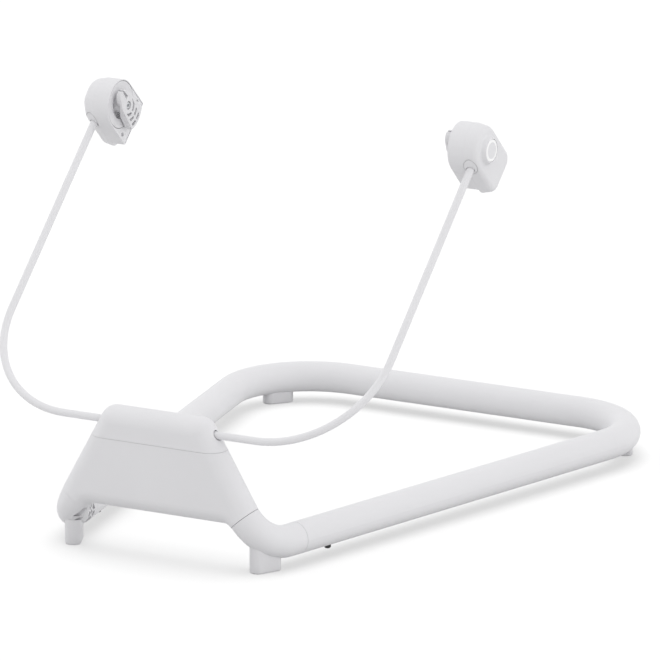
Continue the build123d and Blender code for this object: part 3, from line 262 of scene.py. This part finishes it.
def add_sockets(group, in_out, kind, *labels):
    """New sockets of one kind on a node group: kind is Float, Vector, Geometry and so on."""
    for label in labels:
        group.interface.new_socket(label, in_out=in_out, socket_type=f"NodeSocket{kind}")


def surface_grain():
    """A node group: a position and two sizes in metres in, a fine grain and a slow drift out."""
    group = bpy.data.node_groups.new("surface_grain", "ShaderNodeTree")
    add_sockets(group, "INPUT", "Vector", "Position")
    add_sockets(group, "INPUT", "Float", "Grain Size", "Drift Size")
    add_sockets(group, "OUTPUT", "Float", "Grain", "Drift")
    given = add_node(group, "NodeGroupInput").outputs
    result = add_node(group, "NodeGroupOutput").inputs
    for label, detail in NOISE_DETAIL.items():
        per_metre = math_node(group, "DIVIDE", 1.0, given[f"{label} Size"])
        stretch = {0: given["Position"], "Scale": per_metre}
        place = add_node(group, "ShaderNodeVectorMath", stretch, operation="SCALE").outputs[0]
        speckle = {"Vector": place, "Scale": 1.0, "Detail": detail}
        noise = add_node(group, "ShaderNodeTexNoise", speckle).outputs["Fac"]
        group.links.new(noise, result[label])
    return group


GRAIN = surface_grain()
print("group", GRAIN.name, [item.name for item in GRAIN.interface.items_tree])

# %% [markdown]
# ## Finishes
# Every finish is built the same way: two close tones mixed by the drift, a roughness
# band moved by the grain, and a bump whose depth is a real distance. Only the numbers
# differ, so one function makes them all and the table of finishes stays readable.

# %% Finish function
def finish(name, tones, grain_size, drift_size, rough, depth, metallic=0.0):
    """A grained finish: tones and rough are (low, high) pairs, sizes and depth in metres."""
    material, tree, shader = new_material(name)
    where = add_node(tree, "ShaderNodeTexCoord").outputs["Object"]
    sizes = {"Position": where, "Grain Size": grain_size, "Drift Size": drift_size}
    grain = add_node(tree, "ShaderNodeGroup", sizes, node_tree=GRAIN).outputs
    mix = {"Factor": grain["Drift"], "A": (*tones[0], 1), "B": (*tones[1], 1)}
    tone = add_node(tree, "ShaderNodeMix", mix, data_type="RGBA", name="tone")
    band = {"Value": grain["Grain"], "To Min": rough[0], "To Max": rough[1]}
    gloss = add_node(tree, "ShaderNodeMapRange", band)
    bump = add_node(tree, "ShaderNodeBump", {"Distance": depth, "Height": grain["Grain"]})
    tree.links.new(tone.outputs["Result"], shader.inputs["Base Color"])
    tree.links.new(gloss.outputs["Result"], shader.inputs["Roughness"])
    tree.links.new(bump.outputs["Normal"], shader.inputs["Normal"])
    shader.inputs["Metallic"].default_value = metallic
    return material


print("finishes will share", GRAIN.name)

# %% [markdown]
# ### The table of finishes
# Tones could be typed into every finish, but the coated steel and the moulded shells are
# the same white, so each pair of tones has a name. A piece takes the finish of its slot in
# the frame's record. The feet, the hubs and the plugs take a darker copy of the white
# instead: painted shade for the shade they sit in, by the floor and in the adapters.

# %% Table of finishes
COOL_WHITE = ((0.770, 0.766, 0.785), (0.800, 0.796, 0.815))
# painted shade: the shells' white made darker, for pieces that sit in shade
SHADED_WHITE = ((0.740, 0.736, 0.754), (0.765, 0.761, 0.780))
NATURAL = ((0.62, 0.62, 0.60), (0.67, 0.67, 0.65))
RUBBER_WHITE = ((0.70, 0.70, 0.71), (0.74, 0.74, 0.75))
BLACK = ((0.012, 0.012, 0.013), (0.018, 0.018, 0.02))
ZINC = ((0.55, 0.56, 0.58), (0.64, 0.65, 0.67))
# the pieces that get the painted shade: feet, hubs and seat plugs
SHADED_NODES = ("_foot", "_hub", "_seat_plug")

FINISHES = {
    "white_plastic": finish(
        "moulded_white", COOL_WHITE, grain_size=0.0009, drift_size=0.06, rough=(0.50, 0.66), depth=0.00006
    ),
    "coated_tube": finish(
        "tube_coat", COOL_WHITE, grain_size=0.0026, drift_size=0.09, rough=(0.42, 0.52), depth=0.00005
    ),
    "coated_wire": finish(
        "wire_coat", COOL_WHITE, grain_size=0.0008, drift_size=0.05, rough=(0.38, 0.46), depth=0.00001
    ),
    # painted shade: a darker white for the feet, hubs and plugs
    "shaded_plastic": finish(
        "painted_shade_white", SHADED_WHITE, grain_size=0.0009, drift_size=0.03, rough=(0.55, 0.70), depth=0.00006
    ),
    "nylon": finish(
        "nylon", NATURAL, grain_size=0.0007, drift_size=0.02, rough=(0.45, 0.60), depth=0.00004
    ),
    "sole_rubber": finish(
        "sole_rubber", RUBBER_WHITE, grain_size=0.0006, drift_size=0.01, rough=(0.70, 0.85), depth=0.00008
    ),
    "black_plastic": finish(
        "black_plastic", BLACK, grain_size=0.0006, drift_size=0.01, rough=(0.35, 0.50), depth=0.00003
    ),
    "steel": finish(
        "plated_steel", ZINC, grain_size=0.0004, drift_size=0.004, rough=(0.28, 0.42), depth=0.00002,
        metallic=1.0,
    ),
}
slot_of = {row["node"]: row["material_slot"] for row in frame["record"]["subparts"]}
for node, shape in frame["nodes"].items():
    # feet, hubs and plugs take the darker white, which paints in their shade
    look = "shaded_plastic" if node.endswith(SHADED_NODES) else slot_of[node]
    shape.data.materials.clear()
    shape.data.materials.append(FINISHES[look])
print("finishes", sorted(FINISHES))

# %% [markdown]
# ## Rings
# Three pieces carry a ring. The release button has a broad white one printed on its face.
# The hub and the wire's grommet have a thin dark one, where shade gathers in the joint
# round their rim. A node group turns a radius into a band with soft edges, and a finish
# is copied with that band painted over its tone. Painting by radius needs no image and
# no unwrapping, and it stays sharp at any distance.

# %% Ring group
def ring_band():
    """A node group: a radius in, 1 between an inner and an outer radius out."""
    group = bpy.data.node_groups.new("ring_band", "ShaderNodeTree")
    add_sockets(group, "INPUT", "Float", "Radius", "Inner", "Outer", "Edge")
    add_sockets(group, "OUTPUT", "Float", "Band")
    given = add_node(group, "NodeGroupInput").outputs
    middle = math_node(group, "MULTIPLY", math_node(group, "ADD", given["Inner"], given["Outer"]), 0.5)
    half = math_node(group, "MULTIPLY", math_node(group, "SUBTRACT", given["Outer"], given["Inner"]), 0.5)
    away = math_node(group, "ABSOLUTE", math_node(group, "SUBTRACT", given["Radius"], middle))
    faded = math_node(group, "MULTIPLY_ADD", given["Edge"], 0.5, half)
    fade = {"Value": away, "From Min": half, "From Max": faded, "To Min": 1, "To Max": 0}
    band = add_node(group, "ShaderNodeMapRange", fade, interpolation_type="SMOOTHSTEP").outputs["Result"]
    add_node(group, "NodeGroupOutput", {"Band": band})
    return group


RING = ring_band()
print("group", RING.name, [item.name for item in RING.interface.items_tree])

# %% [markdown]
# ### Two kinds of radius
# For the button and the hub the radius is the distance from the adapter's axis. The
# grommet is oval, so its radius counts from 0 in the middle to 1 on the rim, and the
# oval's size is read from its mesh. Both are measured in the piece's own coordinates, so
# a ring moves with its piece.

# %% Radius round an axis or an oval
JOINTS = {joint["name"]: joint for joint in frame["record"]["behaviour"]["joints"]}
SIDEWAYS = Vector((1, 0, 0))
UPRIGHT_PLANE = Vector((0, 1, 1))
adapter_axis = Vector(JOINTS["right_recline"]["pos_m"]) * UPRIGHT_PLANE
leg_toward = (adapter_axis - Vector(JOINTS["bounce"]["pos_m"])).normalized()
fore = SIDEWAYS.cross(leg_toward)


def axis_radius(tree, position):
    """A socket with the distance from the adapter's axis, in metres."""
    offset = vector_node(tree, "SUBTRACT", position, adapter_axis).outputs[0]
    flat = vector_node(tree, "MULTIPLY", offset, UPRIGHT_PLANE).outputs[0]
    return vector_node(tree, "LENGTH", flat).outputs["Value"]


def middle_and_half(values):
    """The middle of a row of numbers, and half its width."""
    return (max(values) + min(values)) / 2, (max(values) - min(values)) / 2


def oval_radius(tree, position):
    """A socket that is 0 in the middle of the wire's grommet and 1 on its rim."""
    points = [vertex.co for vertex in frame["nodes"]["right_wire_grommet"].data.vertices]
    out_middle, out_half = middle_and_half([point.x for point in points])
    fore_middle, fore_half = middle_and_half([point.dot(fore) for point in points])
    mirrored = vector_node(tree, "ABSOLUTE", position).outputs[0]
    out = vector_node(tree, "DOT_PRODUCT", mirrored, SIDEWAYS / out_half).outputs["Value"]
    along = vector_node(tree, "DOT_PRODUCT", position, fore / fore_half).outputs["Value"]
    both = add_node(tree, "ShaderNodeCombineXYZ", {"X": out, "Y": along}).outputs[0]
    middle = (out_middle / out_half, fore_middle / fore_half, 0)
    offset = vector_node(tree, "SUBTRACT", both, middle).outputs[0]
    return vector_node(tree, "LENGTH", offset).outputs["Value"]


print("adapter axis", [round(c, 4) for c in adapter_axis], "leg toward", [round(c, 3) for c in leg_toward])

# %% [markdown]
# ### Setting the rings
# A ringed finish is a copy, so the plain one stays as it is for the other pieces. In the
# copy the band chooses between the finish's own tone and the colour of the ring, and all
# the rest of the finish, its roughness and bump, runs on under the ring.

# %% Set the rings
PRINT_WHITE = (0.99, 0.99, 0.99)
JOINT_SHADE = (0.42, 0.42, 0.43)
FAINT_SHADE = (0.60, 0.60, 0.61)


def ringed(base, name, radius, inner, outer, edge, colour):
    """A copy of a finish with a ring between two radii: radius makes the socket they count on."""
    material = FINISHES[base].copy()
    material.name = name
    tree = material.node_tree
    position = add_node(tree, "ShaderNodeTexCoord").outputs["Object"]
    sizes = {"Radius": radius(tree, position), "Inner": inner, "Outer": outer, "Edge": edge}
    band = add_node(tree, "ShaderNodeGroup", sizes, node_tree=RING).outputs["Band"]
    coat = {"Factor": band, "A": tree.nodes["tone"].outputs["Result"], "B": (*colour, 1)}
    paint = add_node(tree, "ShaderNodeMix", coat, data_type="RGBA").outputs["Result"]
    tree.links.new(paint, tree.nodes["Principled BSDF"].inputs["Base Color"])
    return material


RINGED = {
    "release_button": ringed(
        "white_plastic", "button_ring", axis_radius, inner=0.0098, outer=0.0134, edge=0.0003,
        colour=PRINT_WHITE,
    ),
    # the hub's ring sits on the darker white, which is painted shade
    "hub": ringed(
        "shaded_plastic", "hub_rim", axis_radius, inner=0.0284, outer=0.0300, edge=0.0004,
        colour=JOINT_SHADE,
    ),
    "wire_grommet": ringed(
        "white_plastic", "grommet_rim", oval_radius, inner=0.95, outer=1.10, edge=0.06,
        colour=FAINT_SHADE,
    ),
}
for piece, material in RINGED.items():
    for side in ("left", "right"):
        frame["nodes"][f"{side}_{piece}"].data.materials[0] = material
print("rings on", sorted(RINGED))

# %% [markdown]
# ## Screws
# The frame's screws are plain pins with a flat head: they show where each screw goes and
# how long it is. A real one is a pan head with a cross recess, and those of the console's
# cover, the elbows and the adapters are made again that way. Their places are read from
# the frame's own solids: the long axis of each solid, the end where it is wide, and the
# run below the head. A Geometry Nodes tree then sets one screw on every place, so a
# change of head size is one number for a whole set, and each is turned by its own angle.

# %% Screw places
MM_PER_M = 1000
MERGE_DISTANCE = 1e-6
HEAD_SHARE = 0.8
SCREW_SETS = {
    "console_and_elbow_screws": ("base", ["console_cover_screws", "elbow_screws"]),
    "adapter_screws": ("spring_frame", ["left_adapter_screws", "right_adapter_screws"]),
}


def merged_copy(node):
    """A copy of a CAD node's mesh in which neighbouring faces share their points."""
    copy = bmesh.new()
    copy.from_mesh(frame["nodes"][node].data)
    bmesh.ops.remove_doubles(copy, verts=copy.verts, dist=MERGE_DISTANCE)
    return copy


def solids_of(node):
    """The points of each separate solid in a CAD node, in the order of its mesh."""
    copy = merged_copy(node)
    left = set(copy.verts)
    found = []
    for start in copy.verts:
        if start not in left:
            continue
        left.remove(start)
        group = [start]
        for vert in group:
            near = [edge.other_vert(vert) for edge in vert.link_edges]
            fresh = [other for other in near if other in left]
            left.difference_update(fresh)
            group.extend(fresh)
        found.append(np.array([vert.co for vert in group]))
    copy.free()
    return found


def screw_place(points):
    """Seat under the head, axis toward the head, and run below the head, of one screw."""
    middle = points.mean(axis=0)
    axis = np.linalg.svd(points - middle)[2][0]
    along = (points - middle) @ axis
    out = np.linalg.norm(points - middle - np.outer(along, axis), axis=1)
    wide = out > HEAD_SHARE * out.max()
    if along[wide].mean() < 0:
        axis, along = -axis, -along
    seat = along[wide].min()
    return middle + axis * seat, axis, seat - along.min()


places = {}
for piece, (body, nodes) in SCREW_SETS.items():
    places[piece] = [screw_place(points) for node in nodes for points in solids_of(node)]
    runs = sorted({round(float(run) * MM_PER_M, 1) for _, _, run in places[piece]})
    print(piece, len(places[piece]), "screws, runs", runs, "mm")

# %% [markdown]
# ### Parts of a tree
# The screws and the springs are grown by Geometry Nodes in the same way: a profile is
# swept along a path, the result is set on points and stood up along each point's own
# axis, and the instances become real and take a finish. What they share is written once.

# %% Parts of a tree
def new_tree(name, sizes, counts=()):
    """A Geometry Nodes tree that takes points, sizes, counts and a finish; gives it and its inputs."""
    tree = bpy.data.node_groups.new(name, "GeometryNodeTree")
    add_sockets(tree, "INPUT", "Geometry", "Geometry")
    add_sockets(tree, "INPUT", "Float", *sizes)
    add_sockets(tree, "INPUT", "Int", *counts)
    add_sockets(tree, "INPUT", "Material", "Finish")
    add_sockets(tree, "OUTPUT", "Geometry", "Geometry")
    return tree, add_node(tree, "NodeGroupInput").outputs


def circle(tree, sides, radius):
    """A round curve."""
    ring = {"Resolution": sides, "Radius": radius}
    return add_node(tree, "GeometryNodeCurvePrimitiveCircle", ring).outputs[0]


def swept(tree, path, profile, **more):
    """A capped mesh with a profile swept along a path."""
    sweep = {"Curve": path, "Profile Curve": profile, "Fill Caps": True, **more}
    return add_node(tree, "GeometryNodeCurveToMesh", sweep).outputs[0]


def vector_of(tree, **parts):
    """A vector from its parts X, Y and Z."""
    return add_node(tree, "ShaderNodeCombineXYZ", parts).outputs[0]


def moved(tree, shape, **change):
    """A geometry with a new Translation or Scale."""
    return add_node(tree, "GeometryNodeTransform", {"Geometry": shape, **change}).outputs[0]


def attribute(tree, name, kind):
    """A socket with a named attribute of the points."""
    return add_node(tree, "GeometryNodeInputNamedAttribute", {"Name": name}, data_type=kind).outputs[0]


def upright(tree):
    """The rotation that stands a shape up along its point's attribute axis."""
    axis = {"Vector": attribute(tree, "axis", "FLOAT_VECTOR")}
    return add_node(tree, "FunctionNodeAlignRotationToVector", axis, axis="Z").outputs[0]


def close_tree(tree, shape, look):
    """The end of a tree: instances made real, with their finish."""
    real = add_node(tree, "GeometryNodeRealizeInstances", {0: shape}).outputs[0]
    done = add_node(tree, "GeometryNodeSetMaterial", {"Geometry": real, "Material": look}).outputs[0]
    add_node(tree, "NodeGroupOutput", {"Geometry": done})


print("tree parts", [part.__name__ for part in (circle, swept, moved, upright, close_tree)])

# %% [markdown]
# ### The screw tree
# The head is a short line swept by a circle whose radius falls along the line like the
# side of a dome. Two thin blocks cut the cross recess out of it. The shank is a line one
# metre long, stretched on each point to that screw's own run.

# %% Screw tree
DOME_STEPS = 9
DOME_SHARE = 0.72
HEAD_SIDES = 28
SHANK_SIDES = 20
RECESS_SPAN = 1.15
HALF_TURN = math.pi


def screw_head(tree, radius, height, recess):
    """A pan head with a cross recess, standing on its seat."""
    line = add_node(tree, "GeometryNodeCurvePrimitiveLine").outputs[0]
    steps = add_node(tree, "GeometryNodeResampleCurve", {"Curve": line, "Count": DOME_STEPS}).outputs[0]
    factor = add_node(tree, "GeometryNodeSplineParameter").outputs["Factor"]
    rise = math_node(tree, "MULTIPLY", factor, DOME_SHARE)
    fall = math_node(tree, "SUBTRACT", 1.0, math_node(tree, "MULTIPLY", rise, rise))
    dome = math_node(tree, "MULTIPLY", math_node(tree, "SQRT", fall), radius)
    pan = swept(tree, steps, circle(tree, HEAD_SIDES, 1.0), Scale=dome)
    head = moved(tree, pan, Scale=vector_of(tree, X=1.0, Y=1.0, Z=height))
    cross = add_node(tree, "GeometryNodeJoinGeometry")
    span = math_node(tree, "MULTIPLY", radius, RECESS_SPAN)
    for length, width in ((span, recess), (recess, span)):
        size = vector_of(tree, X=length, Y=width, Z=height)
        bar = add_node(tree, "GeometryNodeMeshCube", {"Size": size}).outputs[0]
        lifted = moved(tree, bar, Translation=vector_of(tree, Z=height))
        tree.links.new(lifted, cross.inputs[0])
    cut = {0: head, 1: cross.outputs[0]}
    return add_node(tree, "GeometryNodeMeshBoolean", cut, operation="DIFFERENCE").outputs[0]


def screw_tree():
    """Geometry Nodes: a screw on every point, by its attributes axis and run."""
    sizes = ("Head Radius", "Head Height", "Recess Width", "Shank Radius")
    tree, given = new_tree("pan_head_screws", sizes, ["Seed"])
    head = screw_head(tree, given["Head Radius"], given["Head Height"], given["Recess Width"])
    line = add_node(tree, "GeometryNodeCurvePrimitiveLine", {"End": (0, 0, -1)}).outputs[0]
    shank = swept(tree, line, circle(tree, SHANK_SIDES, given["Shank Radius"]))
    chance = {"Max": HALF_TURN, "Seed": given["Seed"]}
    turn = add_node(tree, "FunctionNodeRandomValue", chance, data_type="FLOAT").outputs["Value"]
    spin = add_node(tree, "FunctionNodeAxisAngleToRotation", {"Axis": (0, 0, 1), "Angle": turn}).outputs[0]
    pose = {"Rotation": upright(tree), "Rotate By": spin}
    turned = add_node(tree, "FunctionNodeRotateRotation", pose, rotation_space="LOCAL").outputs[0]
    stretch = vector_of(tree, X=1.0, Y=1.0, Z=attribute(tree, "run", "FLOAT"))
    both = add_node(tree, "GeometryNodeJoinGeometry")
    for shape, scale in ((head, (1, 1, 1)), (shank, stretch)):
        spread = {"Points": given["Geometry"], "Instance": shape, "Rotation": turned, "Scale": scale}
        tree.links.new(add_node(tree, "GeometryNodeInstanceOnPoints", spread).outputs[0], both.inputs[0])
    close_tree(tree, both.outputs[0], given["Finish"])
    return tree


SCREWS = screw_tree()
print("tree", SCREWS.name, len(SCREWS.nodes), "nodes")

# %% [markdown]
# ### Setting the screws
# The tree's sizes are set on the modifier before it first runs. Its result becomes a
# plain mesh, one for each body, and takes the place of the frame's pins.

# %% Set the screws
HEAD_RADIUS = {"console_and_elbow_screws": 0.0032, "adapter_screws": 0.0024}
HEAD_HEIGHT = 0.0022
RECESS_SHARE = 0.26
SHANK_RADIUS = 0.0016


def grown(name, points, tree, sizes):
    """A plain mesh object made by a Geometry Nodes tree from a mesh of points."""
    seed = bpy.data.objects.new(name, points)
    scene.collection.objects.link(seed)
    modifier = seed.modifiers.new("grow", "NODES")
    modifier.node_group = tree
    for item in tree.interface.items_tree:
        if item.name in sizes:
            modifier[item.identifier] = sizes[item.name]
    graph = bpy.context.evaluated_depsgraph_get()
    mesh = bpy.data.meshes.new_from_object(seed.evaluated_get(graph))
    seed.modifiers.remove(modifier)
    seed.data = mesh
    return seed


for seed_number, (piece, (body, nodes)) in enumerate(SCREW_SETS.items(), start=1):
    seats, axes, runs = zip(*places[piece])
    points = bpy.data.meshes.new(piece)
    points.from_pydata(seats, [], [])
    points.attributes.new("axis", "FLOAT_VECTOR", "POINT").data.foreach_set("vector", np.ravel(axes))
    points.attributes.new("run", "FLOAT", "POINT").data.foreach_set("value", np.array(runs))
    sizes = {
        "Head Radius": HEAD_RADIUS[piece],
        "Head Height": HEAD_HEIGHT,
        "Recess Width": RECESS_SHARE * HEAD_RADIUS[piece],
        "Shank Radius": SHANK_RADIUS,
        "Seed": seed_number,
        "Finish": FINISHES["steel"],
    }
    screws = grown(piece, points, SCREWS, sizes)
    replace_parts(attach(screws, body), *nodes)
    print(piece, "on", body, len(screws.data.polygons), "faces")

# %% [markdown]
# ## Springs
# Two kinds of spring give way inside the stand. Behind each release button is a coil: a
# spiral swept by a round wire, grown on one point at its fixed end. The frame has a plain
# sleeve there. Inside each tube a folded leaf holds a snap pin out, and the frame's own
# leaf is right, so a merged copy of it is used. Both are real pieces that shorten as their
# joint moves; here they stand at their full length.

# %% Spring tree
COIL_STEPS = 28
COIL_SIDES = 12


def spring_tree():
    """Geometry Nodes: a coil spring on every point, along the point's attribute axis."""
    tree, given = new_tree("coil_spring", ("Radius", "Wire Radius", "Height", "Turns"))
    spiral = {
        "Resolution": COIL_STEPS,
        "Rotations": given["Turns"],
        "Start Radius": given["Radius"],
        "End Radius": given["Radius"],
        "Height": given["Height"],
    }
    path = add_node(tree, "GeometryNodeCurveSpiral", spiral).outputs[0]
    coil = swept(tree, path, circle(tree, COIL_SIDES, given["Wire Radius"]))
    spread = {"Points": given["Geometry"], "Instance": coil, "Rotation": upright(tree)}
    placed = add_node(tree, "GeometryNodeInstanceOnPoints", spread).outputs[0]
    close_tree(tree, placed, given["Finish"])
    return tree


COIL = spring_tree()
print("tree", COIL.name, len(COIL.nodes), "nodes")

# %% [markdown]
# ### Setting the springs
# The coil's room is read from the frame's sleeve, and how far each spring shortens is the
# travel of its joint. A coil's wire keeps inside the sleeve, so its spiral starts one wire
# radius in from each end.

# %% Set the springs
COIL_WIRE = 0.0006
COIL_TURNS = 5.0


def travel_of(joint):
    """How far a sliding joint moves, in metres."""
    return JOINTS[joint]["range_m"][1]


def set_coil(side, outward):
    """A coil in place of the frame's sleeve; gives its length."""
    low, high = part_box(f"{side}_button_spring")
    middle = (low + high) / 2
    length = high.x - low.x
    fixed = Vector((low.x if outward > 0 else high.x, middle.y, middle.z))
    point = bpy.data.meshes.new(f"{side}_button_coil")
    point.from_pydata([fixed + Vector((outward * COIL_WIRE, 0, 0))], [], [])
    point.attributes.new("axis", "FLOAT_VECTOR", "POINT").data[0].vector = (outward, 0, 0)
    sizes = {
        "Radius": (high.y - low.y) / 2 - COIL_WIRE,
        "Wire Radius": COIL_WIRE,
        "Height": length - 2 * COIL_WIRE,
        "Turns": COIL_TURNS,
        "Finish": FINISHES["steel"],
    }
    coil = grown(f"{side}_button_coil", point, COIL, sizes)
    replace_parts(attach(coil, "spring_frame"), f"{side}_button_spring")
    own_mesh(coil)
    return length


def set_leaf(side):
    """A copy of the frame's folded leaf; gives the share of its length it would keep with the snap pin
    pressed in.
    """
    low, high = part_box(f"{side}_snap_spring")
    copy = merged_copy(f"{side}_snap_spring")
    leaf_mesh = bpy.data.meshes.new(f"{side}_snap_leaf")
    copy.to_mesh(leaf_mesh)
    copy.free()
    leaf_mesh.materials.append(FINISHES["steel"])
    leaf = bpy.data.objects.new(f"{side}_snap_leaf", leaf_mesh)
    scene.collection.objects.link(leaf)
    leaf_keep = 1 - travel_of(f"{side}_snap_press") / (high.z - low.z)
    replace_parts(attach(leaf, "base"), f"{side}_snap_spring")
    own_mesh(leaf)
    return leaf_keep


for side, outward in (("left", -1), ("right", 1)):
    coil_length = set_coil(side, outward)
    leaf_share = set_leaf(side)
    print(side, "coil", round(coil_length * MM_PER_M, 1), "mm long, leaf keeps", round(leaf_share, 3))
